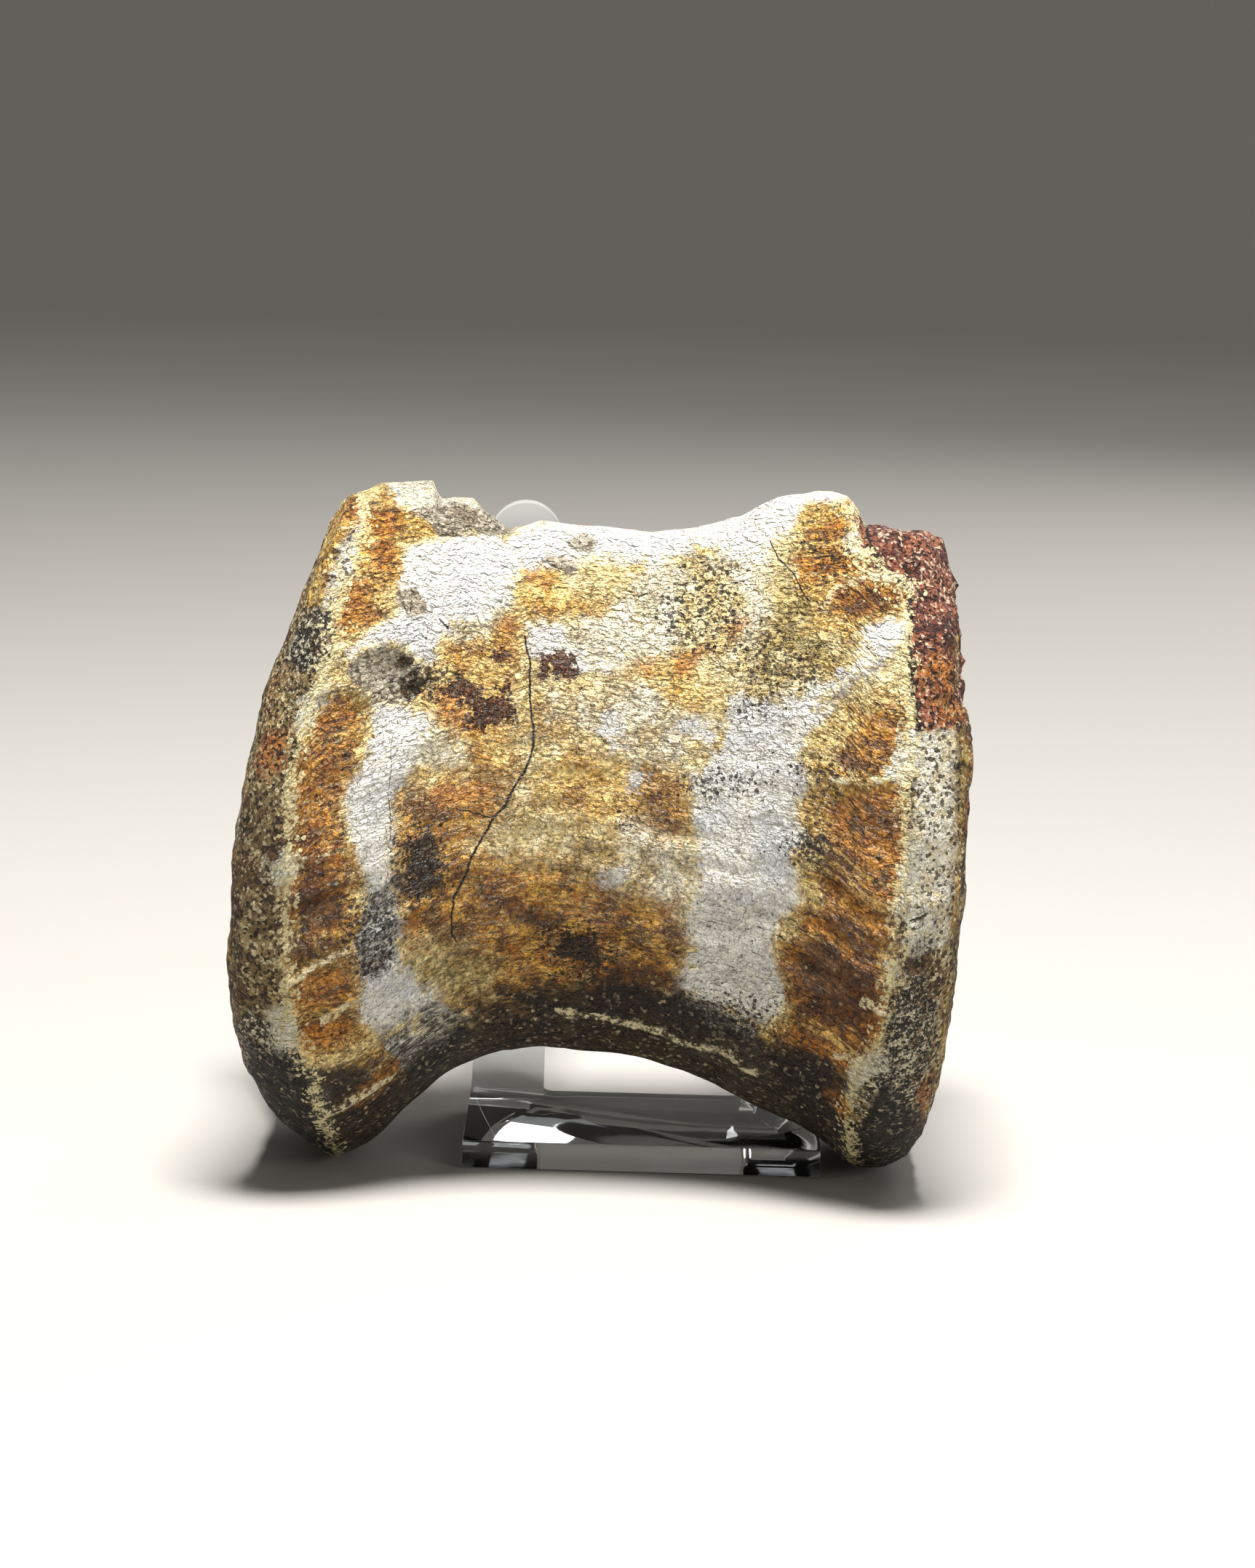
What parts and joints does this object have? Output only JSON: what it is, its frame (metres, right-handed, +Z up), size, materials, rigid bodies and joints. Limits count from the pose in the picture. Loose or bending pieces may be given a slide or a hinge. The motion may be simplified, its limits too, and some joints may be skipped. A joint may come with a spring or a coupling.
{
  "type": "fossil dinosaur vertebra on an acrylic easel",
  "caption": "Fossil dinosaur tail vertebra, spool shaped and worn, resting against a clear acrylic display easel.",
  "frame": {"origin": "middle of the bounding box's footprint, on the surface that the object stands on", "axes": "+X along the bone to its sandstone-crusted end, +Y back to the easel's prongs, +Z up"},
  "size_m": [0.0894, 0.0878, 0.0855],
  "materials": {
    "fossil_bone": "mineralised bone, ochre and white skin with brown rims, rough sandstone in its hollows",
    "clear_acrylic": "clear cast acrylic sheet, polished faces and edges"
  },
  "bodies": {
    "root": {"vertebra": "fossil_bone", "easel": "clear_acrylic"}
  },
  "joints": []
}
